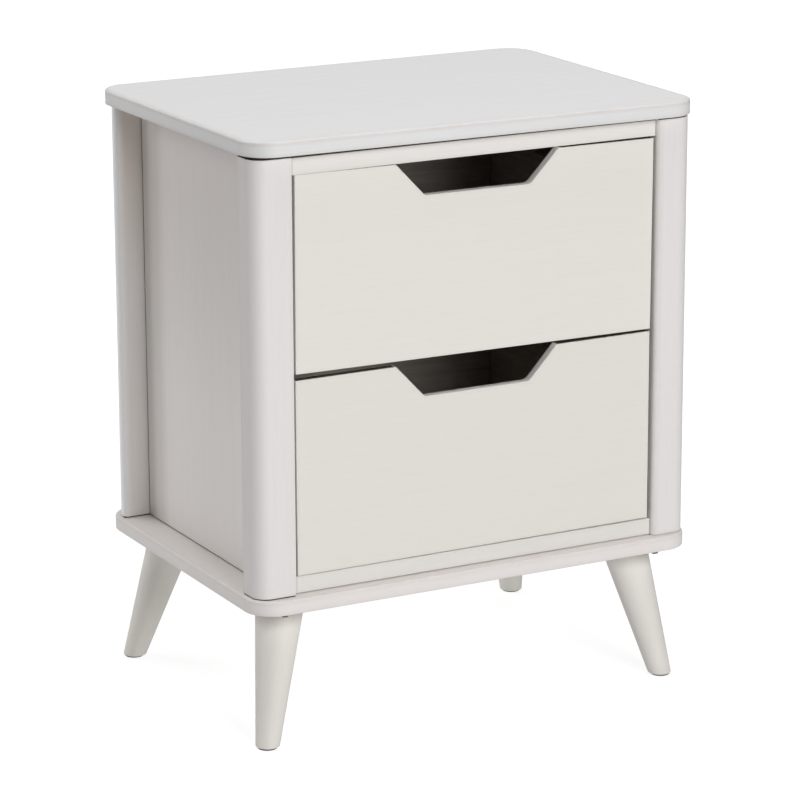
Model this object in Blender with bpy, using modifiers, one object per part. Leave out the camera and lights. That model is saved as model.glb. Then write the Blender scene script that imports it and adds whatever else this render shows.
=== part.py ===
"""Two-drawer nightstand on four splayed round legs.

Frame: metres, +Z up, the fronts face -Y, +X to the right of someone facing the fronts,
origin on the floor under the middle of the top.
"""

import math

import bmesh
import bpy
from mathutils import Matrix

# ---------------------------------------------------------------- driving dimensions
FIT_GAP = 0.0003

# top and base boards, one plan shape
TOTAL_HEIGHT = 0.635
BOARD_WIDTH = 0.519
BOARD_DEPTH = 0.380
BOARD_CORNER_RADIUS = 0.032
BOARD_THICKNESS = 0.016
BOARD_EASE = 0.0026
BASE_UNDERSIDE = 0.1493

# shadow gaps between the underside of the top and the frame below it
POST_REVEAL = 0.0019
RAIL_REVEAL = 0.0033

# corner posts
POST_OUTER_X = 0.2554
POST_INNER_X = 0.2127
POST_CORNER_RADIUS = 0.017
FRONT_POST_Y = (-0.1817, -0.1470)
REAR_POST_Y = (0.1490, 0.1712)
POST_EASE = 0.0012

# side and back panels
SIDE_OUTER_X = 0.2258
BACK_Y = (0.1610, 0.1650)

# rails and drawer fronts, one shared front plane
FRONT_PLANE_Y = -0.1755
RAIL_DEPTH = 0.0180
TOP_RAIL_UNDERSIDE = 0.5988
BOTTOM_RAIL_TOP = 0.1838

# drawer fronts
FRONT_HALF_WIDTH = 0.2083
FRONT_THICKNESS = 0.0120
FRONT_EASE = 0.0010
UPPER_FRONT_Z = (0.3946, 0.5973)
LOWER_FRONT_Z = (0.1852, 0.3910)
NOTCH_TOP_HALF = 0.0940
NOTCH_FLOOR_HALF = 0.0610
UPPER_NOTCH_FLOOR = 0.5633
LOWER_NOTCH_FLOOR = 0.3557
NOTCH_FLOOR_RADIUS = 0.005
NOTCH_MOUTH_RADIUS = 0.004

# drawer boxes behind the fronts
BOX_OUTER_X = 0.1998
BOX_WALL = 0.0120
BOX_LIFT = 0.0120
BOX_SIDE_HEIGHT = 0.1400
BOX_BACK_Y = 0.1380
BOTTOM_THICKNESS = 0.0060
BOTTOM_TONGUE = 0.0035
BOTTOM_LIFT = 0.0100
GROOVE_DEPTH = 0.0050

# telescopic slides, half heights of their nested channels
SLIDE_FRONT_Y = -0.1620
SLIDE_LENGTH = 0.3000
SLIDE_LIFT = 0.0500
FIXED_CHANNEL = (0.0175, 0.0014, 0.2035, 0.2124)
MIDDLE_CHANNEL = (0.0152, 0.0012, 0.2026, 0.2098)
DRAWER_CHANNEL = (0.0128, 0.0012, 0.2001, 0.2070)

# legs
FRONT_FOOT = (0.2375, -0.1616)
FRONT_LEG_TOP = (0.2055, -0.1306)
REAR_FOOT = (0.2398, 0.1678)
REAR_LEG_TOP = (0.2082, 0.1263)
FOOT_RADIUS = 0.0126
LEG_TOP_RADIUS = 0.0265
GLIDE_RADIUS = 0.0105
GLIDE_HEIGHT = 0.0018
PLATE_SIDE = 0.0620
PLATE_THICKNESS = 0.0020
BOLT_RADIUS = 0.0040
BOLT_SPAN = (0.1200, 0.1620)

ARC_STEPS = 8

# ---------------------------------------------------------------- empty scene
for old in list(bpy.data.objects):
    bpy.data.objects.remove(old, do_unlink=True)

assembly = bpy.data.collections.new("nightstand")
cutters = bpy.data.collections.new("cutters")
bpy.context.scene.collection.children.link(assembly)
bpy.context.scene.collection.children.link(cutters)


# ---------------------------------------------------------------- materials
def material(name, colour, roughness, metallic=0.0):
    made = bpy.data.materials.new(name)
    made.use_nodes = True
    shader = made.node_tree.nodes["Principled BSDF"]
    shader.inputs["Base Color"].default_value = (*colour, 1.0)
    shader.inputs["Roughness"].default_value = roughness
    shader.inputs["Metallic"].default_value = metallic
    made.diffuse_color = (*colour, 1.0)
    return made


WHITEWASH = material("whitewashed_wood", (0.73, 0.71, 0.68), 0.50)
FRONT_WOOD = material("whitewashed_front_wood", (0.75, 0.72, 0.66), 0.50)
BOX_WOOD = material("drawer_box_wood", (0.55, 0.47, 0.36), 0.60)
BACK_BOARD = material("back_board", (0.62, 0.60, 0.57), 0.70)
STEEL = material("zinc_steel", (0.45, 0.45, 0.46), 0.35, 1.0)
GLIDE_PLASTIC = material("glide_plastic", (0.30, 0.29, 0.28), 0.60)


# ---------------------------------------------------------------- shape helpers
def add_object(name, mesh, look, location=(0.0, 0.0, 0.0)):
    made = bpy.data.objects.new(name, mesh)
    made.location = location
    mesh.materials.append(look)
    assembly.objects.link(made)
    return made


def mesh_from(shape, name):
    bmesh.ops.recalc_face_normals(shape, faces=shape.faces[:])
    mesh = bpy.data.meshes.new(name)
    shape.to_mesh(mesh)
    shape.free()
    return mesh


def ease(made, width, segments=2):
    """Rounds every sharp arris and leaves the facets of a curve alone."""
    rounding = made.modifiers.new("ease", "BEVEL")
    rounding.width = width
    rounding.segments = segments
    rounding.limit_method = "ANGLE"
    rounding.angle_limit = math.radians(35)
    rounding.use_clamp_overlap = True
    for face in made.data.polygons:
        face.use_smooth = True
    made.data.set_sharp_from_angle(angle=math.radians(30))


def box_shape(low, high):
    shape = bmesh.new()
    size = [high[i] - low[i] for i in range(3)]
    bmesh.ops.create_cube(shape, size=1.0, matrix=Matrix.Diagonal((*size, 1.0)))
    return shape


def board(name, low, high, look, easing=0.0006, segments=1):
    """A board from its two opposite corners, its origin at its middle."""
    middle = [(low[i] + high[i]) / 2 for i in range(3)]
    made = add_object(name, mesh_from(box_shape(low, high), name), look, middle)
    ease(made, easing, segments)
    return made


def fielded_board(name, tongue, field, heights, look):
    """A board with a thinner tongue all round a raised field, each plan a half width and two ends."""
    low, step, high = heights
    shape = bmesh.new()
    rings = []
    for (half, front, rear), z in ((tongue, low), (tongue, step), (field, step), (field, high)):
        plan = ((-half, front), (half, front), (half, rear), (-half, rear))
        rings.append([shape.verts.new((x, y, z)) for x, y in plan])
    for below, above in zip(rings, rings[1:]):
        for index in range(4):
            shape.faces.new((below[index - 1], below[index], above[index], above[index - 1]))
    shape.faces.new(rings[0])
    shape.faces.new(rings[-1])
    made = add_object(name, mesh_from(shape, name), look)
    ease(made, 0.0004, 1)
    return made


def filleted(corners):
    """An outline whose (a, b, radius) corners are rounded to their radius."""
    outline = []
    for index, (a, b, radius) in enumerate(corners):
        if radius == 0:
            outline.append((a, b))
            continue
        before = corners[index - 1]
        after = corners[(index + 1) % len(corners)]
        into = math.atan2(before[1] - b, before[0] - a)
        out = math.atan2(after[1] - b, after[0] - a)
        turn = (out - into + math.pi) % (2 * math.pi) - math.pi
        reach = radius / math.tan(abs(turn) / 2)
        middle = into + turn / 2
        centre_a = a + radius / math.sin(abs(turn) / 2) * math.cos(middle)
        centre_b = b + radius / math.sin(abs(turn) / 2) * math.sin(middle)
        start_a = a + reach * math.cos(into)
        start_b = b + reach * math.sin(into)
        start = math.atan2(start_b - centre_b, start_a - centre_a)
        sweep = -math.copysign(math.pi - abs(turn), turn)
        for step in range(ARC_STEPS + 1):
            angle = start + sweep * step / ARC_STEPS
            point_a = centre_a + radius * math.cos(angle)
            point_b = centre_b + radius * math.sin(angle)
            outline.append((point_a, point_b))
    return outline


def extruded(outline, start, end, axis):
    """The outline swept along Z (its points are X, Y) or along Y (its points are X, Z)."""
    shape = bmesh.new()
    if axis == "Z":
        ring = [shape.verts.new((a, b, start)) for a, b in outline]
        travel = (0.0, 0.0, end - start)
    else:
        ring = [shape.verts.new((a, start, b)) for a, b in outline]
        travel = (0.0, end - start, 0.0)
    face = shape.faces.new(ring)
    grown = bmesh.ops.extrude_face_region(shape, geom=[face])["geom"]
    moved = [item for item in grown if isinstance(item, bmesh.types.BMVert)]
    bmesh.ops.translate(shape, verts=moved, vec=travel)
    return shape


def cutter(name, shape):
    made = bpy.data.objects.new(name, mesh_from(shape, name))
    made.hide_render = True
    made.display_type = "WIRE"
    cutters.objects.link(made)
    return made


def cut(made, tool):
    removal = made.modifiers.new(tool.name, "BOOLEAN")
    removal.operation = "DIFFERENCE"
    removal.solver = "EXACT"
    removal.object = tool


def bolt_hole(name, x, y, low, high):
    shape = bmesh.new()
    bmesh.ops.create_cone(
        shape,
        cap_ends=True,
        segments=16,
        radius1=BOLT_RADIUS + FIT_GAP,
        radius2=BOLT_RADIUS + FIT_GAP,
        depth=high - low,
        matrix=Matrix.Translation((x, y, (low + high) / 2)),
    )
    return cutter(name, shape)


SIDES = (("left", -1), ("right", 1))
CORNERS = tuple(
    (f"{depth}_{side}", x_sign, y_sign)
    for depth, y_sign in (("front", -1), ("rear", 1))
    for side, x_sign in SIDES
)
BASE_TOP = BASE_UNDERSIDE + BOARD_THICKNESS
TOP_UNDERSIDE = TOTAL_HEIGHT - BOARD_THICKNESS

# ---------------------------------------------------------------- top and base boards
half_w = BOARD_WIDTH / 2
half_d = BOARD_DEPTH / 2
plan = filleted(
    [
        (-half_w, -half_d, BOARD_CORNER_RADIUS),
        (half_w, -half_d, BOARD_CORNER_RADIUS),
        (half_w, half_d, BOARD_CORNER_RADIUS),
        (-half_w, half_d, BOARD_CORNER_RADIUS),
    ]
)
for name, underside in (("top_panel", TOP_UNDERSIDE), ("base_panel", BASE_UNDERSIDE)):
    slab = mesh_from(extruded(plan, 0.0, BOARD_THICKNESS, "Z"), name)
    panel = add_object(name, slab, WHITEWASH, (0.0, 0.0, underside))
    ease(panel, BOARD_EASE, 3)
    if name == "base_panel":
        base = panel

# ---------------------------------------------------------------- corner posts
post_foot = BASE_TOP + FIT_GAP
post_head = TOP_UNDERSIDE - POST_REVEAL
for corner, x_sign, y_sign in CORNERS:
    near, far = FRONT_POST_Y if y_sign < 0 else REAR_POST_Y
    outer_y, inner_y = (near, far) if y_sign < 0 else (far, near)
    section = filleted(
        [
            (x_sign * POST_INNER_X, inner_y, 0.0),
            (x_sign * POST_INNER_X, outer_y, 0.0),
            (x_sign * POST_OUTER_X, outer_y, POST_CORNER_RADIUS),
            (x_sign * POST_OUTER_X, inner_y, 0.0),
        ]
    )
    shape = extruded(section, 0.0, post_head - post_foot, "Z")
    name = f"post_{corner}"
    post = add_object(name, mesh_from(shape, name), WHITEWASH, (0.0, 0.0, post_foot))
    ease(post, POST_EASE)

# ---------------------------------------------------------------- side and back panels
panel_foot = BASE_TOP + FIT_GAP
panel_head = TOP_UNDERSIDE - FIT_GAP
for side, x_sign in SIDES:
    xs = sorted((x_sign * POST_INNER_X, x_sign * SIDE_OUTER_X))
    board(
        f"side_panel_{side}",
        (xs[0], FRONT_POST_Y[1] + FIT_GAP, panel_foot),
        (xs[1], REAR_POST_Y[0] - FIT_GAP, panel_head),
        WHITEWASH,
    )
inner_half = POST_INNER_X - FIT_GAP
board(
    "back_panel",
    (-inner_half, BACK_Y[0], panel_foot),
    (inner_half, BACK_Y[1], panel_head),
    BACK_BOARD,
)

# ---------------------------------------------------------------- front rails
for name, low_z, high_z in (
    ("rail_front_top", TOP_RAIL_UNDERSIDE, TOP_UNDERSIDE - RAIL_REVEAL),
    ("rail_front_bottom", panel_foot, BOTTOM_RAIL_TOP),
):
    board(
        name,
        (-inner_half, FRONT_PLANE_Y, low_z),
        (inner_half, FRONT_PLANE_Y + RAIL_DEPTH, high_z),
        WHITEWASH,
        0.0010,
        2,
    )


# ---------------------------------------------------------------- slides
def channel(name, measures, centre_z, x_sign, opens_outward, parent=None):
    """One channel of a telescopic slide: a web along the outer or inner side and two flanges."""
    half, wall, inner_x, outer_x = measures
    web_x, lip_x = (inner_x, outer_x) if opens_outward else (outer_x, inner_x)
    web_face = web_x + wall if opens_outward else web_x - wall
    points = [
        (web_x, -half),
        (lip_x, -half),
        (lip_x, -half + wall),
        (web_face, -half + wall),
        (web_face, half - wall),
        (lip_x, half - wall),
        (lip_x, half),
        (web_x, half),
    ]
    outline = [(x_sign * x, z) for x, z in points]
    shape = extruded(outline, 0.0, SLIDE_LENGTH, "Y")
    made = add_object(name, mesh_from(shape, name), STEEL)
    made.location = (0.0, SLIDE_FRONT_Y, centre_z)
    if parent is not None:
        made.parent = parent
    return made


# ---------------------------------------------------------------- drawers
for level, (front_low, front_high), notch_floor in (
    ("upper", UPPER_FRONT_Z, UPPER_NOTCH_FLOOR),
    ("lower", LOWER_FRONT_Z, LOWER_NOTCH_FLOOR),
):
    runner = bpy.data.objects.new(f"{level}_drawer_axis", None)
    assembly.objects.link(runner)
    box_low = front_low + BOX_LIFT
    box_high = box_low + BOX_SIDE_HEIGHT
    floor_low = box_low + BOTTOM_LIFT
    floor_high = floor_low + BOTTOM_THICKNESS
    box_front = FRONT_PLANE_Y + FRONT_THICKNESS
    box_inner_x = BOX_OUTER_X - BOX_WALL
    groove_x = box_inner_x + GROOVE_DEPTH
    tongue_high = floor_low + BOTTOM_TONGUE
    groove_z = (floor_low - FIT_GAP, tongue_high + FIT_GAP)
    floor_front = box_front - GROOVE_DEPTH

    face = filleted(
        [
            (-FRONT_HALF_WIDTH, front_low, 0.0),
            (FRONT_HALF_WIDTH, front_low, 0.0),
            (FRONT_HALF_WIDTH, front_high, 0.0),
            (NOTCH_TOP_HALF, front_high, NOTCH_MOUTH_RADIUS),
            (NOTCH_FLOOR_HALF, notch_floor, NOTCH_FLOOR_RADIUS),
            (-NOTCH_FLOOR_HALF, notch_floor, NOTCH_FLOOR_RADIUS),
            (-NOTCH_TOP_HALF, front_high, NOTCH_MOUTH_RADIUS),
            (-FRONT_HALF_WIDTH, front_high, 0.0),
        ]
    )
    name = f"{level}_drawer_front"
    shape = extruded(face, 0.0, FRONT_THICKNESS, "Y")
    front = add_object(name, mesh_from(shape, name), FRONT_WOOD, (0.0, FRONT_PLANE_Y, 0.0))
    front.parent = runner
    ease(front, FRONT_EASE)
    slot = extruded(
        [
            (-groove_x - FIT_GAP, groove_z[0]),
            (groove_x + FIT_GAP, groove_z[0]),
            (groove_x + FIT_GAP, groove_z[1]),
            (-groove_x - FIT_GAP, groove_z[1]),
        ],
        floor_front - FIT_GAP,
        box_front + GROOVE_DEPTH,
        "Y",
    )
    cut(front, cutter(f"{level}_front_groove", slot))

    side_front = box_front + FIT_GAP
    for side, x_sign in SIDES:
        section = [
            (x_sign * x, z)
            for x, z in (
                (box_inner_x, box_low),
                (BOX_OUTER_X, box_low),
                (BOX_OUTER_X, box_high),
                (box_inner_x, box_high),
                (box_inner_x, groove_z[1]),
                (groove_x, groove_z[1]),
                (groove_x, groove_z[0]),
                (box_inner_x, groove_z[0]),
            )
        ]
        name = f"{level}_drawer_side_{side}"
        shape = extruded(section, 0.0, BOX_BACK_Y - side_front, "Y")
        wall = add_object(name, mesh_from(shape, name), BOX_WOOD, (0.0, side_front, 0.0))
        wall.parent = runner
        ease(wall, 0.0008, 1)

    floor_half = groove_x - FIT_GAP
    field_half = box_inner_x - FIT_GAP
    back_front = BOX_BACK_Y - BOX_WALL
    floor = fielded_board(
        f"{level}_drawer_bottom",
        (floor_half, floor_front, BOX_BACK_Y),
        (field_half, box_front + FIT_GAP, back_front - FIT_GAP),
        (floor_low, tongue_high, floor_high),
        BOX_WOOD,
    )
    floor.parent = runner
    back_half = box_inner_x - FIT_GAP
    back = board(
        f"{level}_drawer_back",
        (-back_half, back_front, tongue_high + FIT_GAP),
        (back_half, BOX_BACK_Y, box_high),
        BOX_WOOD,
    )
    back.parent = runner

    slide_z = box_low + SLIDE_LIFT
    for side, x_sign in SIDES:
        end = f"{level}_{side}"
        channel(f"slide_fixed_{end}", FIXED_CHANNEL, slide_z, x_sign, False)
        carrier = bpy.data.objects.new(f"slide_axis_{end}", None)
        assembly.objects.link(carrier)
        channel(f"slide_middle_{end}", MIDDLE_CHANNEL, slide_z, x_sign, False, carrier)
        channel(f"slide_drawer_{end}", DRAWER_CHANNEL, slide_z, x_sign, True, runner)

# ---------------------------------------------------------------- legs and their fittings
plate_high = BASE_UNDERSIDE - FIT_GAP
plate_low = plate_high - PLATE_THICKNESS
leg_high = plate_low - FIT_GAP
leg_low = GLIDE_HEIGHT + FIT_GAP
taper = (LEG_TOP_RADIUS - FOOT_RADIUS) / BASE_UNDERSIDE
for corner, x_sign, y_sign in CORNERS:
    foot, head = (FRONT_FOOT, FRONT_LEG_TOP) if y_sign < 0 else (REAR_FOOT, REAR_LEG_TOP)
    foot_x, foot_y = x_sign * foot[0], foot[1]
    head_x, head_y = x_sign * head[0], head[1]
    splay = Matrix.Identity(4)
    splay[0][2] = (head_x - foot_x) / BASE_UNDERSIDE
    splay[1][2] = (head_y - foot_y) / BASE_UNDERSIDE

    shape = bmesh.new()
    bmesh.ops.create_cone(
        shape,
        cap_ends=True,
        segments=40,
        radius1=FOOT_RADIUS + taper * leg_low,
        radius2=FOOT_RADIUS + taper * leg_high,
        depth=leg_high - leg_low,
        matrix=splay @ Matrix.Translation((0.0, 0.0, (leg_low + leg_high) / 2)),
    )
    name = f"leg_{corner}"
    leg = add_object(name, mesh_from(shape, name), WHITEWASH, (foot_x, foot_y, 0.0))
    ease(leg, 0.0010)

    shape = bmesh.new()
    bmesh.ops.create_cone(
        shape,
        cap_ends=True,
        segments=24,
        radius1=GLIDE_RADIUS - 0.0006,
        radius2=GLIDE_RADIUS,
        depth=GLIDE_HEIGHT,
    )
    name = f"foot_glide_{corner}"
    add_object(
        name, mesh_from(shape, name), GLIDE_PLASTIC, (foot_x, foot_y, GLIDE_HEIGHT / 2)
    )

    half = PLATE_SIDE / 2
    square = filleted(
        [(-half, -half, 0.008), (half, -half, 0.008), (half, half, 0.008), (-half, half, 0.008)]
    )
    name = f"leg_plate_{corner}"
    shape = extruded(square, 0.0, PLATE_THICKNESS, "Z")
    plate = add_object(name, mesh_from(shape, name), STEEL, (head_x, head_y, plate_low))
    ease(plate, 0.0004, 1)

    shape = bmesh.new()
    bmesh.ops.create_cone(
        shape,
        cap_ends=True,
        segments=16,
        radius1=BOLT_RADIUS,
        radius2=BOLT_RADIUS,
        depth=BOLT_SPAN[1] - BOLT_SPAN[0],
    )
    name = f"leg_bolt_{corner}"
    middle = (BOLT_SPAN[0] + BOLT_SPAN[1]) / 2
    bolt = add_object(name, mesh_from(shape, name), STEEL, (head_x, head_y, middle))
    ease(bolt, 0.0008, 1)

    span = (BOLT_SPAN[0] - FIT_GAP, BOLT_SPAN[1] + FIT_GAP)
    hole = bolt_hole(f"bolt_hole_{corner}", head_x, head_y, *span)
    for made in (leg, plate, base):
        cut(made, hole)
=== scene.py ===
"""Looks of the two-drawer nightstand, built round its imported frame.

Metres, +Z up, the fronts face -Y. Every piece is made in the row frame, so a place here is a
place there.
"""

import math

import bmesh
import bpy
from mathutils import Matrix, Vector


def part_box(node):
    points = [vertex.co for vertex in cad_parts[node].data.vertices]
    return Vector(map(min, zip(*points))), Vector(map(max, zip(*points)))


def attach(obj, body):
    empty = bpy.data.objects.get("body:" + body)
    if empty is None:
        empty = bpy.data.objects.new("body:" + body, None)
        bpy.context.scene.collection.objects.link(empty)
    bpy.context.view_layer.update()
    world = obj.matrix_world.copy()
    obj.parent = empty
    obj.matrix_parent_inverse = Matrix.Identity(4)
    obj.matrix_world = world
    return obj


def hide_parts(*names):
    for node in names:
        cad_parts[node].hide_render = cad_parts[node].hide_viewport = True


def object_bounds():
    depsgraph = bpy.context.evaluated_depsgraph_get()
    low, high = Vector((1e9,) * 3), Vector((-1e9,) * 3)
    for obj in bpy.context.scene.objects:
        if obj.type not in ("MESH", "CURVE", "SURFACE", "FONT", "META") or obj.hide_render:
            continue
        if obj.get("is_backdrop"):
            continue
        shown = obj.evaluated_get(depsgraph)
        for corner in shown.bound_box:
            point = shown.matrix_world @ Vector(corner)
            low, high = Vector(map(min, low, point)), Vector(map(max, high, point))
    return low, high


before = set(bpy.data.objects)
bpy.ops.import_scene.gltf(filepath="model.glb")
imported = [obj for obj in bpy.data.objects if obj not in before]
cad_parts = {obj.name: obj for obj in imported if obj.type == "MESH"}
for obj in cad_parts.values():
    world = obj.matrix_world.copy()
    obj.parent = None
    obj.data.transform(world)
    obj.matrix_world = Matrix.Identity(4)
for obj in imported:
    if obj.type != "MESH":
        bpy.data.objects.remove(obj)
cad_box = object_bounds()

SIDES = ("left", "right")
CORNERS = ("front_left", "front_right", "rear_left", "rear_right")
LEVELS = ("upper", "lower")


# ---------------------------------------------------------------- looks of the surfaces
class Graph:
    """A material's node tree, with short ways to add what the finishes share."""

    def __init__(self, name, **sockets):
        self.material = bpy.data.materials.new(name)
        self.material.use_nodes = True
        self.tree = self.material.node_tree
        self.shader = self.tree.nodes["Principled BSDF"]
        for socket, value in sockets.items():
            self.shader.inputs[socket.replace("_", " ")].default_value = value
        self.point = self.add("ShaderNodeTexCoord").outputs["Object"]

    def add(self, kind, inputs=(), **settings):
        made = self.tree.nodes.new(kind)
        for key, value in settings.items():
            setattr(made, key, value)
        for key, value in dict(inputs).items():
            if isinstance(value, bpy.types.NodeSocket):
                self.tree.links.new(value, made.inputs[key])
            else:
                made.inputs[key].default_value = value
        return made

    def noise(self, scale, stretch=(1, 1, 1), detail=3.0, roughness=0.55, distortion=0.0):
        """Noise with scale features to the metre, drawn out by stretch."""
        place = self.add("ShaderNodeMapping", {"Vector": self.point, "Scale": stretch})
        inputs = {
            "Vector": place.outputs[0],
            "Scale": scale,
            "Detail": detail,
            "Roughness": roughness,
            "Distortion": distortion,
        }
        return self.add("ShaderNodeTexNoise", inputs).outputs[0]

    def remap(self, value, low, high, to_low=0.0, to_high=1.0):
        inputs = {0: value, 1: low, 2: high, 3: to_low, 4: to_high}
        return self.add("ShaderNodeMapRange", inputs, clamp=True).outputs[0]

    def calc(self, operation, first, second):
        return self.add("ShaderNodeMath", {0: first, 1: second}, operation=operation).outputs[0]

    def mix(self, share, first, second):
        inputs = {0: share}
        for socket, colour in ((6, first), (7, second)):
            inputs[socket] = colour if isinstance(colour, bpy.types.NodeSocket) else (*colour, 1.0)
        return self.add("ShaderNodeMix", inputs, data_type="RGBA").outputs[2]

    def worn(self):
        return self.add("ShaderNodeAttribute", attribute_name="wear").outputs["Fac"]

    def finish(self, colour, roughness, height, distance, strength=1.0):
        relief = {"Height": height, "Distance": distance, "Strength": strength}
        bump = self.add("ShaderNodeBump", relief)
        for socket, value in (
            ("Base Color", colour),
            ("Roughness", roughness),
            ("Normal", bump.outputs[0]),
        ):
            self.tree.links.new(value, self.shader.inputs[socket])
        return self.material


def stretched(axis, length):
    """Mapping scale that draws a pattern out along one axis."""
    return tuple(1.0 / length if name == axis else 1.0 for name in "XYZ")


PORE = (0.46, 0.40, 0.33)
ARRIS_WEAR_AND_SHADE_COLOUR = (0.50, 0.43, 0.36)
BRIGHTEST = 0.9


def whitewash(name, tone, axis, contrast=0.016, arris_wear_and_shade=0.16, painted_light_and_shade=()):
    """Thin white wash over close-grained wood, its fibres along one axis, worn on the arrises;
    heavy wear there is also painted shade over the arris highlight.

    Each (axis, where none, where full, share, colour) draws the tone to its colour: painted light
    where lighter, painted shade where darker.
    """
    g = Graph(name)
    light = tuple(min(BRIGHTEST, part * (1 + contrast)) for part in tone)
    shade = tuple(part * (1 - contrast) for part in tone)
    fibre = g.noise(520, stretched(axis, 30), 6, 0.62, 0.1)
    streak = g.noise(85, stretched(axis, 20), 4, 0.55)
    mingled = g.calc("ADD", g.calc("MULTIPLY", fibre, 0.6), g.calc("MULTIPLY", streak, 0.4))
    colour = g.mix(g.remap(mingled, 0.36, 0.64), shade, light)
    pores = g.remap(g.noise(1500, stretched(axis, 34), 2, 0.5), 0.62, 0.74)
    colour = g.mix(g.calc("MULTIPLY", pores, 0.10), colour, PORE)
    patchy = g.remap(g.noise(55, (1, 1, 1), 4, 0.65), 0.40, 0.70, 0.65, 1.0)
    worn_and_shaded = g.calc("MULTIPLY", g.calc("MULTIPLY", g.worn(), patchy), arris_wear_and_shade)
    colour = g.mix(worn_and_shaded, colour, ARRIS_WEAR_AND_SHADE_COLOUR)
    # Painted light and shade, laid on by place.
    for along, none, full, share, painted_tone in painted_light_and_shade:
        place = g.add("ShaderNodeSeparateXYZ", {0: g.point}).outputs[along]
        colour = g.mix(g.remap(place, none, full, 0.0, share), colour, painted_tone)
    satin = g.remap(mingled, 0.35, 0.65, 0.62, 0.54)
    roughness = g.calc("ADD", satin, g.calc("MULTIPLY", pores, 0.1))
    height = g.calc("SUBTRACT", fibre, g.calc("MULTIPLY", pores, 0.6))
    return g.finish(colour, roughness, height, 0.0001, 0.4)


def box_board(name, axis):
    """Light drawer-box board: visible long grain, matt."""
    g = Graph(name)
    bands = g.noise(55, stretched(axis, 16), 5, 0.6, 0.6)
    fibre = g.noise(600, stretched(axis, 30), 5, 0.6)
    colour = g.mix(g.remap(bands, 0.36, 0.64), (0.53, 0.48, 0.425), (0.63, 0.59, 0.54))
    grain = g.calc("MULTIPLY", g.remap(fibre, 0.5, 0.7), 0.35)
    colour = g.mix(grain, colour, (0.42, 0.36, 0.30))
    roughness = g.remap(fibre, 0.35, 0.65, 0.52, 0.68)
    return g.finish(colour, roughness, fibre, 0.00012, 0.5)


def hardboard(name):
    """White-faced fibreboard: fine flecks and a slight pebble."""
    g = Graph(name)
    pebble = g.noise(900, (1, 1, 1), 3, 0.6)
    cloud = g.noise(9, (1, 1, 1), 3)
    fleck = g.remap(g.noise(1400, stretched("X", 3), 2), 0.66, 0.74)
    colour = g.mix(g.remap(cloud, 0.35, 0.65), (0.680, 0.662, 0.635), (0.700, 0.683, 0.655))
    colour = g.mix(g.calc("MULTIPLY", fleck, 0.35), colour, (0.45, 0.40, 0.33))
    return g.finish(colour, g.remap(cloud, 0.3, 0.7, 0.58, 0.66), pebble, 0.0001, 0.5)


def painted_shade_board(name):
    """Dark brown with fine chips in a brown ground, set in joints and gaps as painted shade."""
    g = Graph(name)
    chips = g.noise(1100, (1, 1, 1), 4, 0.65)
    cloud = g.noise(30, (1, 1, 1), 3)
    colour = g.mix(g.remap(chips, 0.38, 0.62), (0.046, 0.035, 0.026), (0.074, 0.057, 0.044))
    return g.finish(colour, g.remap(cloud, 0.3, 0.7, 0.75, 0.9), chips, 0.0001, 0.6)


def zinc(name, axis):
    """Zinc-plated sheet steel: rolling streaks and cloudy plating."""
    g = Graph(name, Metallic=1.0)
    streak = g.noise(700, stretched(axis, 60), 4, 0.6)
    cloud = g.noise(60, (1, 1, 1), 4, 0.6)
    colour = g.mix(g.remap(cloud, 0.35, 0.65), (0.42, 0.42, 0.43), (0.60, 0.60, 0.60))
    colour = g.mix(g.calc("MULTIPLY", g.worn(), 0.4), colour, (0.72, 0.72, 0.70))
    rolled = g.remap(streak, 0.3, 0.7, 0.20, 0.38)
    roughness = g.calc("ADD", rolled, g.remap(cloud, 0.3, 0.7, 0.0, 0.12))
    return g.finish(colour, roughness, streak, 0.00004, 0.6)


def glide_plastic(name):
    """Dark moulded plastic with a fine eroded texture, scuffed at the rim."""
    g = Graph(name)
    grain = g.noise(2500, (1, 1, 1), 3, 0.6)
    cloud = g.noise(80, (1, 1, 1), 3)
    colour = g.mix(g.remap(cloud, 0.35, 0.65), (0.045, 0.042, 0.04), (0.075, 0.07, 0.066))
    colour = g.mix(g.calc("MULTIPLY", g.worn(), 0.5), colour, (0.16, 0.155, 0.15))
    return g.finish(colour, g.remap(cloud, 0.3, 0.7, 0.45, 0.62), grain, 0.00008, 0.6)


# Colours of painted light and shade: a surface is drawn darker towards the shades and lighter
# towards the lights.
PAINTED_SHADE = (0.40, 0.35, 0.31)
PAINTED_WARM_SHADE = (0.50, 0.34, 0.16)
PAINTED_LIGHT = (0.90, 0.875, 0.855)
PAINTED_WARM_LIGHT = (0.92, 0.878, 0.828)
PAINTED_COOL_LIGHT = (0.92, 0.915, 0.920)

# The top board's heavy arris wear is also painted shade over the arris highlight.
TOP_WASH = whitewash("wash_top", (0.778, 0.772, 0.774), "X", arris_wear_and_shade=0.29)
BASE_WASH = whitewash("wash_base", (0.798, 0.757, 0.737), "X")
# Painted shadow of the left post on the top rail's left end.
RAIL_END_PAINTED_SHADE = ("X", -0.2074, -0.2084, 0.35, PAINTED_SHADE)
RAIL_WASH = whitewash("wash_rail", (0.775, 0.751, 0.724), "X", painted_light_and_shade=[RAIL_END_PAINTED_SHADE])

# The rear posts' tone is lighter than the front posts': painted light on their shaded side.
REAR_POST_TONE = (0.805, 0.770, 0.748)
# Painted shade on the front posts' outer side faces.
FRONT_POST_PAINTED_SHADE = [("X", -0.249, -0.2554, 0.10, PAINTED_SHADE)]
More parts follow.
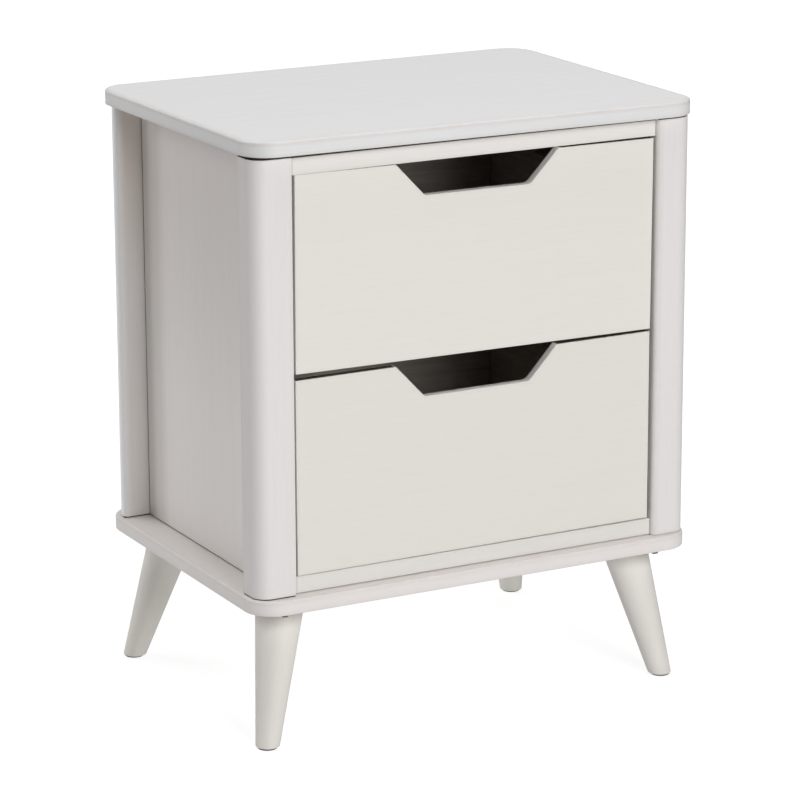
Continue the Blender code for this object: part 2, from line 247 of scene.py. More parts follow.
# Rear posts: painted warm shade towards the top, painted light on the outer strip and its arris,
# then the plain tone again further back.
REAR_POST_PAINTED_LIGHT_AND_SHADE = [
    ("Z", 0.43, 0.61, 0.24, PAINTED_WARM_SHADE),
    ("X", -0.2460, -0.2520, 0.7, PAINTED_COOL_LIGHT),
    ("Y", 0.1490, 0.1505, 0.9, PAINTED_COOL_LIGHT),
    ("Y", 0.1625, 0.1680, 0.85, REAR_POST_TONE),
]
POST_WASH = {
    "front": whitewash("wash_post_front", (0.782, 0.758, 0.747), "Z", painted_light_and_shade=FRONT_POST_PAINTED_SHADE),
    "rear": whitewash("wash_post_rear", REAR_POST_TONE, "Z", painted_light_and_shade=REAR_POST_PAINTED_LIGHT_AND_SHADE),
}

# The panels' tone is raised and darkened towards the top: painted light low down, painted shade
# under the top board.
PANEL_TONE = (0.844, 0.800, 0.777)
PANEL_HEAD_PAINTED_SHADE = ("Z", 0.32, 0.64, 0.34, PAINTED_SHADE)
# Left panel only: a band of painted shade, then painted light, next to the rear post.
PANEL_REAR_PAINTED_LIGHT_AND_SHADE = [("Y", 0.094, 0.112, 0.15, PAINTED_SHADE), ("Y", 0.114, 0.134, 0.75, PAINTED_WARM_LIGHT)]
PANEL_PAINTED_LIGHT_AND_SHADE = {"left": [PANEL_HEAD_PAINTED_SHADE, *PANEL_REAR_PAINTED_LIGHT_AND_SHADE], "right": [PANEL_HEAD_PAINTED_SHADE]}
PANEL_WASH = {
    side: whitewash(f"wash_panel_{side}", PANEL_TONE, "Z", painted_light_and_shade=painted_light_and_shade)
    for side, painted_light_and_shade in PANEL_PAINTED_LIGHT_AND_SHADE.items()
}

# Painted shadow of the base board on the front legs' heads; the rear legs' lighter tone is painted
# light.
LEG_HEAD_PAINTED_SHADE = [("Z", 0.122, 0.149, 0.55, PAINTED_SHADE)]
LEG_WASH = {
    "front": whitewash("wash_leg_front", (0.775, 0.743, 0.700), "Z", painted_light_and_shade=LEG_HEAD_PAINTED_SHADE),
    "rear": whitewash("wash_leg_rear", (0.800, 0.772, 0.718), "Z"),
}

FRONT_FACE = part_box("upper_drawer_front")[0].y
# Painted light on every face set back from the front face: the notch cuts, the edges and the back.
CUT_PAINTED_LIGHT = [("Y", FRONT_FACE + 0.0008, FRONT_FACE + 0.002, 1.0, PAINTED_LIGHT)]
# The upper front's lighter tone and the lower's darker one are painted light and shade.
FRONT_TONE = {"upper": (0.802, 0.775, 0.729), "lower": (0.781, 0.753, 0.702)}
FRONT_WASH = {
    level: whitewash(f"wash_front_{level}", tone, "X", contrast=0.010, arris_wear_and_shade=0.10, painted_light_and_shade=CUT_PAINTED_LIGHT)
    for level, tone in FRONT_TONE.items()
}

PAINTED_SHADE_LOOK = painted_shade_board("painted_shade_board")
BOX = {axis: box_board(f"box_board_{axis}", axis) for axis in "XY"}
HARDBOARD = hardboard("hardboard")
ZINC = {axis: zinc(f"zinc_{axis}", axis) for axis in "XY"}
PLASTIC = glide_plastic("glide_plastic")

# ---------------------------------------------------------------- shape helpers
QUARTER = math.pi / 2
EASE_STEPS = 4
ARRIS_STEPS = 3
BEND_STEPS = 16
# A corner wider than this is a bend of the piece and takes no wear; below it is an arris.
BIG_RADIUS = 0.006
SMALLEST_RADIUS = 0.00008
# The wear of an arris dies out over this much of the flat beside it, or over what room there is.
FADE = 0.0035
FADE_ROOM = 0.45
LEAST_FLAT = 0.0002
NORMAL_WEIGHT = 80


def outline_of(corners, inset):
    """[(a, b, wear)] round a solid's (a, b, radius) corners, anticlockwise, moved in by inset."""
    count = len(corners)
    points = [Vector(corner[:2]) for corner in corners]
    spans = [(points[(i + 1) % count] - points[i]).normalized() for i in range(count)]
    bends = [spans[i - 1].x * spans[i].y - spans[i - 1].y * spans[i].x for i in range(count)]
    sizes = []
    moved = []
    for i, here in enumerate(points):
        normal = Vector((-spans[i - 1].y, spans[i - 1].x))
        inward = (normal + Vector((-spans[i].y, spans[i].x))).normalized()
        moved.append(here + inward * inset / inward.dot(normal))
        own = corners[i][2]
        sizes.append(max(SMALLEST_RADIUS, own - inset) if bends[i] > 0 else own + inset)
    halves = [spans[i].angle(-spans[i - 1]) / 2 for i in range(count)]
    reaches = [size / math.tan(half) for size, half in zip(sizes, halves)]
    outline = []
    for i, here in enumerate(moved):
        after_i = (i + 1) % count
        before, after = -spans[i - 1], spans[i]
        room_before = (moved[i - 1] - here).length - reaches[i - 1] - reaches[i]
        room_after = (moved[after_i] - here).length - reaches[after_i] - reaches[i]
        centre = here + (before + after).normalized() * sizes[i] / math.sin(halves[i])
        start = (here + before * reaches[i] - centre).normalized()
        stop = (here + after * reaches[i] - centre).normalized()
        small = corners[i][2] < BIG_RADIUS
        worn = 1.0 if small and bends[i] > 0 else 0.0
        steps = ARRIS_STEPS if small else BEND_STEPS
        fade_before = min(FADE, FADE_ROOM * room_before)
        fade_after = min(FADE, FADE_ROOM * room_after)
        outline.append((here + before * (reaches[i] + fade_before), 0.0))
        for k in range(steps + 1):
            outline.append((centre + start.slerp(stop, k / steps) * sizes[i], worn))
        outline.append((here + after * (reaches[i] + fade_after), 0.0))
    return [(point.x, point.y, worn) for point, worn in outline]


def mesh_of(name, shape):
    """A smooth-shaded mesh with its faces turned outwards."""
    bmesh.ops.recalc_face_normals(shape, faces=shape.faces[:])
    for face in shape.faces:
        face.smooth = True
    mesh = bpy.data.meshes.new(name)
    shape.to_mesh(mesh)
    shape.free()
    return mesh


def piece(name, mesh, look, body, replaces=()):
    """An object in the row frame that rides a body and may stand for a CAD node."""
    made = bpy.data.objects.new(name, mesh)
    mesh.materials.append(look)
    bpy.context.scene.collection.objects.link(made)
    even = made.modifiers.new("even_normals", "WEIGHTED_NORMAL")
    even.weight = NORMAL_WEIGHT
    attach(made, body)
    if replaces:
        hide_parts(*replaces)


def swept(name, rings):
    """Skin over rings of (x, y, z, wear) points, closed at both ends."""
    shape = bmesh.new()
    wear = shape.verts.layers.float.new("wear")
    loops = []
    for ring in rings:
        loop = []
        for x, y, z, worn in ring:
            vert = shape.verts.new((x, y, z))
            vert[wear] = worn
            loop.append(vert)
        loops.append(loop)
    for low, high in zip(loops, loops[1:]):
        for i in range(len(low)):
            shape.faces.new((low[i - 1], low[i], high[i], high[i - 1]))
    shape.faces.new(loops[0])
    shape.faces.new(list(reversed(loops[-1])))
    return mesh_of(name, shape)


TO_ROW = {
    "X": lambda a, b, t: (t, a, b),
    "Y": lambda a, b, t: (a, t, b),
    "Z": lambda a, b, t: (a, b, t),
}


def prism(name, corners, low, high, axis, ease, ease_high=None, insets=()):
    """The (a, b, radius) outline carried along an axis, its end arrises rounded.

    ease rounds the low end and ease_high the high one; insets add rings to the flat ends.
    """
    if sum(p[0] * q[1] - q[0] * p[1] for p, q in zip(corners, corners[1:] + corners[:1])) < 0:
        corners = corners[::-1]
    spans = [max(c[k] for c in corners) - min(c[k] for c in corners) for k in (0, 1)]
    rings = []
    for end, inward, radius in ((low, 1, ease), (high, -1, ease_high or ease)):
        fade = min(FADE, (high - low) / 2 - radius - LEAST_FLAT)
        cap_fade = min(FADE, min(spans) / 2 - radius - LEAST_FLAT)
        stations = [(inset, 0.0, 0.0) for inset in (*insets, radius + cap_fade)]
        for k in range(EASE_STEPS + 1):
            angle = QUARTER * k / EASE_STEPS
            stations.append((radius * (1 - math.sin(angle)), radius * (1 - math.cos(angle)), 1.0))
        stations.append((0.0, radius + fade, 0.0))
        loops = []
        for inset, travel, worn in stations:
            at = end + inward * travel
            flat = inset > radius
            loops.append([
                (*TO_ROW[axis](a, b, at), 0.0 if flat else max(worn, own))
                for a, b, own in outline_of(corners, inset)
            ])
        rings += loops if inward > 0 else loops[::-1]
    return swept(name, rings)


def shade_strip(name, corners, low, high, axis, body="carcass"):
    """A square-cut dark strip of painted shade in a joint or gap: the (a, b) corners carried along
    an axis.
    """
    rings = [[(*TO_ROW[axis](a, b, t), 0.0) for a, b, *_ in corners] for t in (low, high)]
    mesh = swept(name, rings)
    for face in mesh.polygons:
        face.use_smooth = False
    piece(name, mesh, PAINTED_SHADE_LOOK, body)


def rectangle(low_a, low_b, high_a, high_b, radius=0.0):
    return [
        (low_a, low_b, radius),
        (high_a, low_b, radius),
        (high_a, high_b, radius),
        (low_a, high_b, radius),
    ]


def ramp(value, start, stop):
    """0 at start, 1 at stop, smooth between them and level beyond."""
    share = max(0.0, min(1.0, (value - start) / (stop - start)))
    return share * share * (3 - 2 * share)


# ---------------------------------------------------------------- top and base boards
PLAN_RADIUS = 0.032
BOARD_EASE = 0.0026
TOP_UNDER_EASE = 0.0008
BASE_UNDER_EASE = 0.0014
# The top board's front-left corner is lifted by WARP, from nothing at the first x and y here.
WARP = 0.0022
WARP_X = (0.14, -0.19)
WARP_Y = (0.19, -0.11)
WARP_INSETS = (0.185, 0.15, 0.11, 0.07, 0.035)

low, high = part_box("top_panel")
plan = rectangle(low.x, low.y, high.x, high.y, PLAN_RADIUS)
mesh = prism("top_board", plan, low.z, high.z, "Z", TOP_UNDER_EASE, BOARD_EASE, WARP_INSETS)
for vert in mesh.vertices:
    vert.co.z += WARP * ramp(vert.co.x, *WARP_X) * ramp(vert.co.y, *WARP_Y)
piece("top_board", mesh, TOP_WASH, "carcass", ["top_panel"])
TOP_UNDERSIDE = low.z

low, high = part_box("base_panel")
plan = rectangle(low.x, low.y, high.x, high.y, PLAN_RADIUS)
mesh = prism("base_board", plan, low.z, high.z, "Z", BASE_UNDER_EASE, BOARD_EASE)
piece("base_board", mesh, BASE_WASH, "carcass", ["base_panel"])
BASE_UNDERSIDE, BASE_TOP = low.z, high.z

# ---------------------------------------------------------------- corner posts
POST_RADIUS = 0.017
POST_ARRIS = 0.0014
POST_END_EASE = 0.0004
INNER_ARRIS = {"left": 0.0006, "right": 0.0050}
INNER_SHIFT = {"left": 0.0006, "right": 0.0}
OUTER_ARRIS = {"front": POST_ARRIS, "rear": 0.0045}
# Dark lines over and under each post, and how far their dark strips of painted shade lie behind
# its faces.
REVEAL = {"left": 0.0011, "right": 0.0027}
POST_LINE = {"left": 0.0012, "right": 0.0005}
SET_BACK = 0.0009
# The painted-shade strips lap their piece, reach into the lifted top board and lie just off the
# base.
SHADE_STRIP_LAP = 0.0004
SHADE_STRIP_RISE = 0.0012
SHADE_STRIP_LIFT = 0.0001
SHADE_STRIP_BENDS = 8

for corner in CORNERS:
    low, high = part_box(f"post_{corner}")
    end, side = corner.split("_")
    x_sign = -1 if side == "left" else 1
    y_sign = -1 if end == "front" else 1
    xs = (low.x, high.x) if x_sign < 0 else (high.x, low.x)
    ys = (low.y, high.y) if y_sign < 0 else (high.y, low.y)
    inner = xs[1]
    inner_arris = POST_ARRIS
    if end == "front":
        inner += INNER_SHIFT[side]
        inner_arris = INNER_ARRIS[side]
    section = [
        (xs[0], ys[0], POST_RADIUS),
        (inner, ys[0], inner_arris),
        (inner, ys[1], POST_ARRIS),
        (xs[0], ys[1], OUTER_ARRIS[end]),
    ]
    head = TOP_UNDERSIDE - REVEAL[side]
    foot = BASE_TOP + POST_LINE[side]
    name = f"corner_post_{corner}"
    mesh = prism(name, section, foot, head, "Z", POST_END_EASE)
    piece(name, mesh, POST_WASH[end], "carcass", [f"post_{corner}"])

    outer_x, inner_x = xs[0] - x_sign * SET_BACK, inner + x_sign * SET_BACK
    near_y, far_y = ys[0] - y_sign * SET_BACK, ys[1] + y_sign * SET_BACK
    bend_x, bend_y = outer_x - x_sign * POST_RADIUS, near_y - y_sign * POST_RADIUS
    section = [(inner_x, near_y), (inner_x, far_y), (outer_x, far_y)]
    for k in range(SHADE_STRIP_BENDS + 1):
        angle = QUARTER * k / SHADE_STRIP_BENDS
        along_x = x_sign * POST_RADIUS * math.cos(angle)
        along_y = y_sign * POST_RADIUS * math.sin(angle)
        section.append((bend_x + along_x, bend_y + along_y))
    # Dark strips standing in as painted shade in the line under the post and in the reveal over
    # it.
    if side == "left":
        name = f"post_joint_{corner}"
        shade_strip(name, section, BASE_TOP + SHADE_STRIP_LIFT, foot + SHADE_STRIP_LAP, "Z")
    name = f"post_reveal_{corner}"
    shade_strip(name, section, head - SHADE_STRIP_LAP, TOP_UNDERSIDE + SHADE_STRIP_RISE, "Z")

# ---------------------------------------------------------------- side and back panels
PANEL_LINE = 0.0012
PANEL_ARRIS = 0.0003
BACK_ARRIS = 0.0004
STRIP_INSET = 0.001
STRIP_LAP = 0.0002
STRIP_END = 0.002

for side in SIDES:
    low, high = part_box(f"side_panel_{side}")
    foot, rear = BASE_TOP + PANEL_LINE, high.y - PANEL_LINE
    plan = rectangle(low.x, low.y, high.x, rear, PANEL_ARRIS)
    name = f"side_board_{side}"
    mesh = prism(name, plan, foot, high.z, "Z", PANEL_ARRIS)
    piece(name, mesh, PANEL_WASH[side], "carcass", [f"side_panel_{side}"])
    # Dark strips as painted shade in the line under the panel and in its joint with the rear post.
    strip = rectangle(
        low.x + SET_BACK, low.y + STRIP_INSET, high.x - SET_BACK, rear - STRIP_INSET
    )
    shade_strip(f"side_joint_{side}", strip, BASE_TOP + SHADE_STRIP_LIFT, foot + STRIP_LAP, "Z")
    strip = rectangle(
        low.x + STRIP_LAP, rear - STRIP_LAP, high.x - STRIP_LAP, high.y + STRIP_LAP
    )
    shade_strip(f"rear_joint_{side}", strip, BASE_TOP + STRIP_END, high.z - STRIP_END, "Z")

back_low, back_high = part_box("back_panel")
plan = rectangle(back_low.x, back_low.z, back_high.x, back_high.z, BACK_ARRIS)
mesh = prism("back_board", plan, back_low.y, back_high.y, "Y", BACK_ARRIS)
piece("back_board", mesh, HARDBOARD, "carcass", ["back_panel"])

# ---------------------------------------------------------------- screws
HEAD_RADIUS = 0.0036
HEAD_RISE = 0.0014
HEAD_SINK = -0.0003
CUP_RADIUS = 0.0003
# (radius, rise, wear) from the bottom of the cupped drive to the middle of the hidden underside.
HEAD_PROFILE = (
    (CUP_RADIUS, 0.0004, 0.0),
    (0.0013, 0.0005, 0.0),
    (0.0016, HEAD_RISE, 1.0),
    (0.0022, HEAD_RISE, 0.3),
    (0.0031, 0.0010, 0.3),
    (HEAD_RADIUS, 0.0002, 1.0),
    (HEAD_RADIUS, HEAD_SINK, 0.0),
    (CUP_RADIUS, HEAD_SINK, 0.0),
)
HEAD_SEGMENTS = 20
HEAD_TURNS = [2 * math.pi * i / HEAD_SEGMENTS for i in range(HEAD_SEGMENTS)]
BACK_MARGIN = 0.011
BACK_SPACES = 3
PLATE_MARGIN = 0.0065


def screw_heads(name, spots, axis, outward):
    """Pan heads with a cupped drive, standing on a face at each (a, b, t) spot."""
    whole = bmesh.new()
    wear = whole.verts.layers.float.new("wear")
    for a, b, t in spots:
        loops = []
        for radius, rise, worn in HEAD_PROFILE:
            loop = []
            for turn in HEAD_TURNS:
                along_a, along_b = radius * math.cos(turn), radius * math.sin(turn)
                at = TO_ROW[axis](a + along_a, b + along_b, t + outward * rise)
                vert = whole.verts.new(at)
                vert[wear] = worn
                loop.append(vert)
            loops.append(loop)
        for one, other in zip(loops, loops[1:]):
            for i in range(len(one)):
                whole.faces.new((one[i - 1], one[i], other[i], other[i - 1]))
        whole.faces.new(loops[0])
        whole.faces.new(loops[-1])
    piece(name, mesh_of(name, whole), ZINC["X"], "carcass")


def spaced(start, stop):
    """Screw places along a back panel edge, the first and last a margin in from its ends."""
    room = stop - start - 2 * BACK_MARGIN
    return [start + BACK_MARGIN + room * k / BACK_SPACES for k in range(BACK_SPACES + 1)]


across = spaced(back_low.x, back_high.x)
up = spaced(back_low.z, back_high.z)
spots = [(x, z, back_high.y) for z in (up[0], up[-1]) for x in across]
spots += [(x, z, back_high.y) for z in up[1:-1] for x in (across[0], across[-1])]
screw_heads("back_screws", spots, "Y", 1)
for corner in CORNERS:
    low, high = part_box(f"leg_plate_{corner}")
    xs = (low.x + PLATE_MARGIN, high.x - PLATE_MARGIN)
    ys = (low.y + PLATE_MARGIN, high.y - PLATE_MARGIN)
    screw_heads(f"plate_screws_{corner}", [(x, y, low.z) for x in xs for y in ys], "Z", -1)

# ---------------------------------------------------------------- front rails
RAIL_REVEAL = {"left": 0.0028, "right": 0.0037}
RAIL_ARRIS = 0.0005
RAIL_LINE = 0.0009
END_GAP = 0.0005
SLAB_INSET = 0.0005
SLAB_DROP = 0.004
RAIL_STRIP_DROP = 0.003

top_low, top_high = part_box("rail_front_top")
left_end, right_end = top_low.x + INNER_SHIFT["left"] + END_GAP, top_high.x
rail = [
    (left_end, top_low.z, RAIL_ARRIS),
    (right_end, top_low.z, RAIL_ARRIS),
    (right_end, TOP_UNDERSIDE - RAIL_REVEAL["right"], RAIL_ARRIS),
    (left_end, TOP_UNDERSIDE - RAIL_REVEAL["left"], RAIL_ARRIS),
]
mesh = prism("top_rail", rail, top_low.y, top_high.y, "Y", RAIL_ARRIS)
piece("top_rail", mesh, RAIL_WASH, "carcass", ["rail_front_top"])
# Dark strips as painted shade in the top rail's reveal and at its left end.
slab = rectangle(
    left_end + SLAB_INSET,
    top_high.z - SLAB_DROP,
    right_end - SLAB_INSET,
    TOP_UNDERSIDE + SHADE_STRIP_RISE,
)
shade_strip("top_rail_reveal", slab, top_low.y + SET_BACK, top_high.y - SET_BACK, "Y")
strip = rectangle(top_low.x, top_low.y + SET_BACK, left_end + STRIP_LAP, top_high.y)
shade_strip("top_rail_joint", strip, top_low.z + STRIP_INSET, top_high.z - RAIL_STRIP_DROP, "Z")

low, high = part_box("rail_front_bottom")
rail = rectangle(left_end, BASE_TOP + RAIL_LINE, right_end, high.z, RAIL_ARRIS)
mesh = prism("bottom_rail", rail, low.y, high.y, "Y", RAIL_ARRIS)
piece("bottom_rail", mesh, RAIL_WASH, "carcass", ["rail_front_bottom"])
# A dark strip as painted shade at the bottom rail's left end.
shade_strip("bottom_rail_joint", strip, BASE_TOP + STRIP_END, high.z - STRIP_INSET, "Z")

# ---------------------------------------------------------------- drawer fronts
FRONT_ARRIS = 0.0010
FACE_EASE = 0.0009
BACK_EASE = 0.0035
# Half the width of each finger notch at the top edge and at its floor, and its corners.
NOTCH_MOUTH = 0.0940
NOTCH_FLOOR = 0.0610
NOTCH_SHIFT = {"upper": (-0.0007, -0.0005), "lower": (0.0, 0.0008)}
NOTCH_FLOOR_Z = {"upper": 0.5633, "lower": 0.3557}
MOUTH_RADIUS = 0.0030
LEFT_RADIUS = 0.0040
RIGHT_RADIUS = 0.0100
FRONT_SHIFT = {"upper": 0.0017, "lower": 0.0009}
FRONT_LEAN = {"upper": 0.0046, "lower": -0.0014}
# How far each corner hangs off square: bottom left, bottom right, top left, top right.
FRONT_HANG = {
    "upper": (0.0009, -0.0019, 0.0015, -0.0007),
    "lower": (-0.0010, -0.0001, -0.0019, -0.0008),
}
# The dark strip on the top edge, painted shade for the gap above the front: how far it stands up,
# and how far it stops from the corners.
EDGE_RISE = 0.0002
EDGE_SINK = 0.0004
EDGE_INSET = 0.001
MOUTH_INSET = 0.002
DRAWER_BOX = {"side_left": "Y", "side_right": "Y", "back": "X", "bottom": "Y"}


def hung(level, x, z):
    """Where a point of a square-hung front lies on the front as it really hangs."""
    low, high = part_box(f"{level}_drawer_front")
    across = (x - low.x) / (high.x - low.x)
    up = (z - low.z) / (high.z - low.z)
    bottom_left, bottom_right, top_left, top_right = FRONT_HANG[level]
    bottom = bottom_left + (bottom_right - bottom_left) * across
    top = top_left + (top_right - top_left) * across
    lean = FRONT_LEAN[level] * (z - (low.z + high.z) / 2)
    return x + FRONT_SHIFT[level] + lean, z + bottom + (top - bottom) * up


for level in LEVELS:
    node, body = f"{level}_drawer_front", f"{level}_drawer"
    low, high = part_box(node)
    floor_z = NOTCH_FLOOR_Z[level]
    left_shift, right_shift = NOTCH_SHIFT[level]
    square = [
        (low.x, low.z, FRONT_ARRIS),
        (high.x, low.z, FRONT_ARRIS),
        (high.x, high.z, FRONT_ARRIS),
        (NOTCH_MOUTH + right_shift, high.z, MOUTH_RADIUS),
        (NOTCH_FLOOR + right_shift, floor_z, RIGHT_RADIUS),
        (left_shift - NOTCH_FLOOR, floor_z, LEFT_RADIUS),
        (left_shift - NOTCH_MOUTH, high.z, MOUTH_RADIUS),
        (low.x, high.z, FRONT_ARRIS),
    ]
    face = [(*hung(level, x, z), radius) for x, z, radius in square]
    mesh = prism(f"{level}_front", face, low.y, high.y, "Y", FACE_EASE, BACK_EASE)
    piece(f"{level}_front", mesh, FRONT_WASH[level], body, [node])
    # Dark strips as painted shade on the front's top edge, either side of the notch.
    for hand, start, stop in (
        ("left", low.x + EDGE_INSET, -NOTCH_MOUTH - MOUTH_INSET),
        ("right", NOTCH_MOUTH + MOUTH_INSET, high.x - EDGE_INSET),
    ):
        (x0, z0), (x1, z1) = hung(level, start, high.z), hung(level, stop, high.z)
        slab = [
            (x0, z0 - EDGE_SINK),
            (x1, z1 - EDGE_SINK),
            (x1, z1 + EDGE_RISE),
            (x0, z0 + EDGE_RISE),
        ]
        shade_strip(f"{level}_edge_{hand}", slab, low.y + SET_BACK, high.y - BACK_EASE, "Y", body)
    for part, axis in DRAWER_BOX.items():
        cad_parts[f"{level}_drawer_{part}"].data.materials[0] = BOX[axis]

# ---------------------------------------------------------------- legs and glides
FOOT_RADIUS = 0.0124
LEG_TOP_RADIUS = 0.0262
FOOT_EASE = 0.0012
FOOT_EASE_STEPS = 5
FOOT_CAP_INSET = 3 * FOOT_EASE
FOOT_WEAR = 0.005
LEG_TOP_INSET = 0.004
LEG_TOP_RISE = 0.0005
LEG_RINGS = 12
LEG_SEGMENTS = 72
LEG_TURNS = [2 * math.pi * i / LEG_SEGMENTS for i in range(LEG_SEGMENTS)]
# Middle of a right leg at the floor and at the base board's underside.
LEG_ENDS = {
    "front": ((0.2375, -0.1616), (0.2055, -0.1306)),
    "rear": ((0.2398, 0.1678), (0.2082, 0.1263)),
}


def ring_round(middle, radius, z, worn):
    return [
        (middle.x + radius * math.cos(turn), middle.y + radius * math.sin(turn), z, worn)
        for turn in LEG_TURNS
    ]


def leg_rings(foot, head, low_z, top_z):
    """Rings of a tapered leg, its foot eased, round the line from foot to head."""
    stations = [(low_z, FOOT_CAP_INSET)]
    for k in range(FOOT_EASE_STEPS + 1):
        angle = QUARTER * k / FOOT_EASE_STEPS
        rise, inset = FOOT_EASE * (1 - math.cos(angle)), FOOT_EASE * (1 - math.sin(angle))
        stations.append((low_z + rise, inset))
    for k in range(1, LEG_RINGS + 1):
        stations.append((low_z + (top_z - low_z) * k / LEG_RINGS, 0.0))
    stations.append((top_z, LEG_TOP_INSET))
    rings = []
    for z, inset in stations:
        share = z / head.z
        middle = foot.lerp(head, share)
        radius = FOOT_RADIUS + (LEG_TOP_RADIUS - FOOT_RADIUS) * share - inset
        worn = max(0.0, 1.0 - (z - low_z) / FOOT_WEAR)
        rings.append(ring_round(middle, radius, z, worn))
    return rings


def glide_profile(radius, top_z):
    """(radius, z, wear) from the middle of a glide's underside to its top."""
    return [
        (0.0030, 0.0, 0.0),
        (radius - 0.0016, 0.0, 0.3),
        (radius - 0.0006, 0.0003, 1.0),
        (radius, 0.0009, 1.0),
        (radius, top_z, 0.0),
    ]


for corner in CORNERS:
    low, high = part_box(f"leg_{corner}")
    end, side = corner.split("_")
    x_sign = -1 if side == "left" else 1
    (foot_x, foot_y), (head_x, head_y) = LEG_ENDS[end]
    foot = Vector((x_sign * foot_x, foot_y, 0.0))
    head = Vector((x_sign * head_x, head_y, BASE_UNDERSIDE))
    name = f"turned_leg_{corner}"
    mesh = swept(name, leg_rings(foot, head, low.z, high.z + LEG_TOP_RISE))
    piece(name, mesh, LEG_WASH[end], "carcass", [f"leg_{corner}"])

    low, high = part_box(f"foot_glide_{corner}")
    middle = (low + high) / 2
    profile = glide_profile((high.x - low.x) / 2, high.z)
    name = f"glide_{corner}"
    mesh = swept(name, [ring_round(middle, radius, z, worn) for radius, z, worn in profile])
    piece(name, mesh, PLASTIC, "carcass", [f"foot_glide_{corner}"])
    for fitting in (f"leg_plate_{corner}", f"leg_bolt_{corner}"):
        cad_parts[fitting].data.materials[0] = ZINC["X"]

# Small dark pads under the front edge of the base board, one beside each front leg.
PAD_X = {"left": (-0.2300, -0.2245), "right": (0.2105, 0.2170)}
PAD_Y = (-0.1870, -0.1780)
PAD_DEPTH = 0.0025
PAD_RADIUS = 0.0008
PAD_EASE = 0.0005
for side in SIDES:
    (x0, x1), (y0, y1) = PAD_X[side], PAD_Y
    pad = rectangle(x0, y0, x1, y1, PAD_RADIUS)
    name = f"base_pad_{side}"
    mesh = prism(name, pad, BASE_UNDERSIDE - PAD_DEPTH, BASE_UNDERSIDE, "Z", PAD_EASE)
    piece(name, mesh, PLASTIC, "carcass")

# ---------------------------------------------------------------- drawer slides
for level in LEVELS:
    for side in SIDES:
        for kind in ("fixed", "middle", "drawer"):
            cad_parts[f"slide_{kind}_{level}_{side}"].data.materials[0] = ZINC["Y"]

# ---------------------------------------------------------------- camera
SENSOR_MM = 36.0
LENS_MM = 161.5375
YAW = math.radians(28.09974)
PITCH = math.radians(15.22209)
ROLL = math.radians(0.19595)
CAMERA_AT = (-1.74886, -3.28384, 1.31302)

forward = Vector((
    math.sin(YAW) * math.cos(PITCH),
    math.cos(YAW) * math.cos(PITCH),
    -math.sin(PITCH),
))
level_right = Vector((math.cos(YAW), -math.sin(YAW), 0.0))
level_down = forward.cross(level_right)
right = level_right * math.cos(ROLL) + level_down * math.sin(ROLL)
down = level_down * math.cos(ROLL) - level_right * math.sin(ROLL)
turned = Matrix((right, -down, -forward)).transposed().to_4x4()
camera_data = bpy.data.cameras.new("camera")
camera_data.sensor_width = SENSOR_MM
camera_data.lens = LENS_MM
camera = bpy.data.objects.new("camera", camera_data)
camera.matrix_world = Matrix.Translation(CAMERA_AT) @ turned
bpy.context.scene.collection.objects.link(camera)
bpy.context.scene.camera = camera

# ---------------------------------------------------------------- floor
WHITE = (1.0, 1.0, 1.0, 1.0)
FLOOR_HALF = 30.0
FLOOR_DROP = 0.0002
FLOOR_GREY = (0.22, 0.22, 0.22, 1.0)
# The floor glows onto the piece within a disc, and to the eye fades to the white backdrop.
LIT_RADIUS = 2.2
LIT_BLUR = 0.2
LIT_STRENGTH = 0.48
SEEN_FROM = 0.5
SEEN_TO = 1.6
SEEN_NEAR = 0.88
SEEN_FAR = 1.0

floor_shape = bmesh.new()
bmesh.ops.create_grid(floor_shape, x_segments=1, y_segments=1, size=FLOOR_HALF)
floor = bpy.data.objects.new("floor", mesh_of("floor", floor_shape))
floor.location.z = -FLOOR_DROP
pale = Graph("pale_floor", Base_Color=FLOOR_GREY, Roughness=1.0)
pale.shader.inputs["Emission Color"].default_value = WHITE
pale.shader.inputs["Specular IOR Level"].default_value = 0.0
reach = pale.add("ShaderNodeVectorMath", {0: pale.point}, operation="LENGTH").outputs["Value"]
lit = pale.remap(reach, LIT_RADIUS - LIT_BLUR, LIT_RADIUS + LIT_BLUR, LIT_STRENGTH, 0.0)
seen = pale.remap(reach, SEEN_FROM, SEEN_TO, SEEN_NEAR, SEEN_FAR)
by_eye = pale.add("ShaderNodeLightPath").outputs["Is Camera Ray"]
glow = pale.add("ShaderNodeMix", {0: by_eye, 2: lit, 3: seen}, data_type="FLOAT").outputs[0]
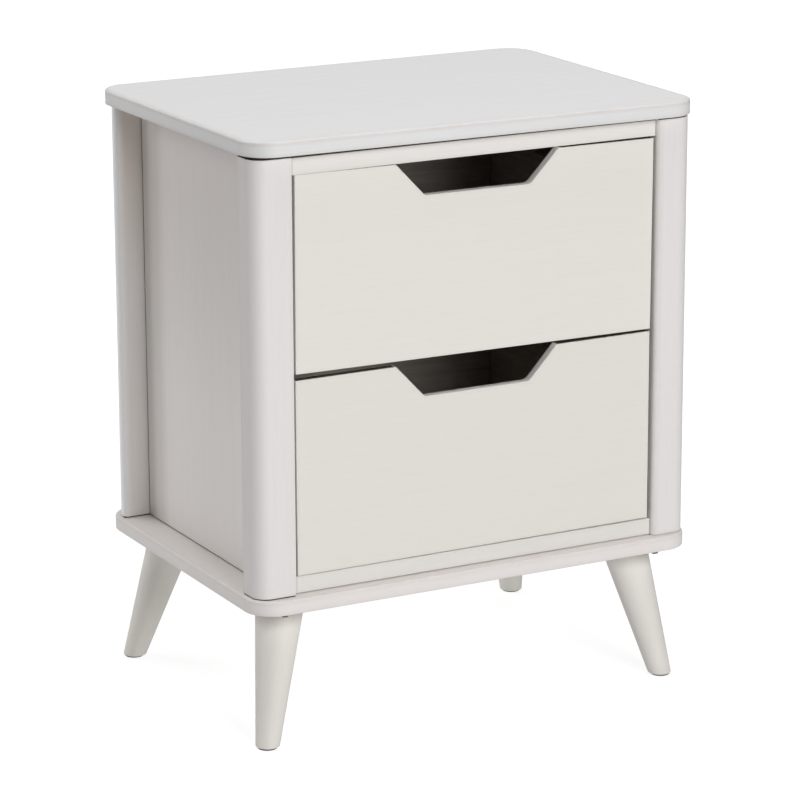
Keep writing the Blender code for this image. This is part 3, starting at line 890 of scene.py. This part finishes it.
pale.tree.links.new(glow, pale.shader.inputs["Emission Strength"])
floor.data.materials.append(pale.material)
bpy.context.scene.collection.objects.link(floor)
floor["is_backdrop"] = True

# ---------------------------------------------------------------- studio light
LAMP_DISTANCE = 4.3
LAMP_AIM = Vector((0.0, 0.0, 0.35))
AIR_STRENGTH = 0.01
# Name, azimuth (0 in front of the piece, 90 at its right), elevation, side, watts.
SOFTBOXES = (
    ("front_softbox", 0, 22, 2.0, 125.0),
    ("overhead_softbox", 0, 89.9, 2.0, 96.0),
    ("left_rear_softbox", -135, 22, 2.8, 91.0),
    ("right_rear_softbox", 135, 48, 2.0, 21.0),
)

for name, azimuth, elevation, size, watts in SOFTBOXES:
    lamp = bpy.data.lights.new(name, "AREA")
    lamp.shape = "SQUARE"
    lamp.size = size
    lamp.energy = watts
    softbox = bpy.data.objects.new(name, lamp)
    turn, lift = math.radians(azimuth), math.radians(elevation)
    away = Vector((
        math.sin(turn) * math.cos(lift),
        -math.cos(turn) * math.cos(lift),
        math.sin(lift),
    ))
    softbox.location = LAMP_AIM + away * LAMP_DISTANCE
    softbox.rotation_euler = (-away).to_track_quat("-Z", "Y").to_euler()
    bpy.context.scene.collection.objects.link(softbox)

world = bpy.data.worlds.new("studio")
bpy.context.scene.world = world
world.use_nodes = True
air = world.node_tree
air.nodes["Background"].inputs["Color"].default_value = WHITE
air.nodes["Background"].inputs["Strength"].default_value = AIR_STRENGTH
backdrop = air.nodes.new("ShaderNodeBackground")
backdrop.inputs["Color"].default_value = WHITE
either = air.nodes.new("ShaderNodeMixShader")
path = air.nodes.new("ShaderNodeLightPath")
air.links.new(path.outputs["Is Camera Ray"], either.inputs[0])
air.links.new(air.nodes["Background"].outputs[0], either.inputs[1])
air.links.new(backdrop.outputs[0], either.inputs[2])
air.links.new(either.outputs[0], air.nodes["World Output"].inputs["Surface"])
bpy.context.scene.view_settings.view_transform = "Standard"

size = {
    "cad": [list(corner) for corner in cad_box],
    "visual": [list(corner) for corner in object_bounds()],
}
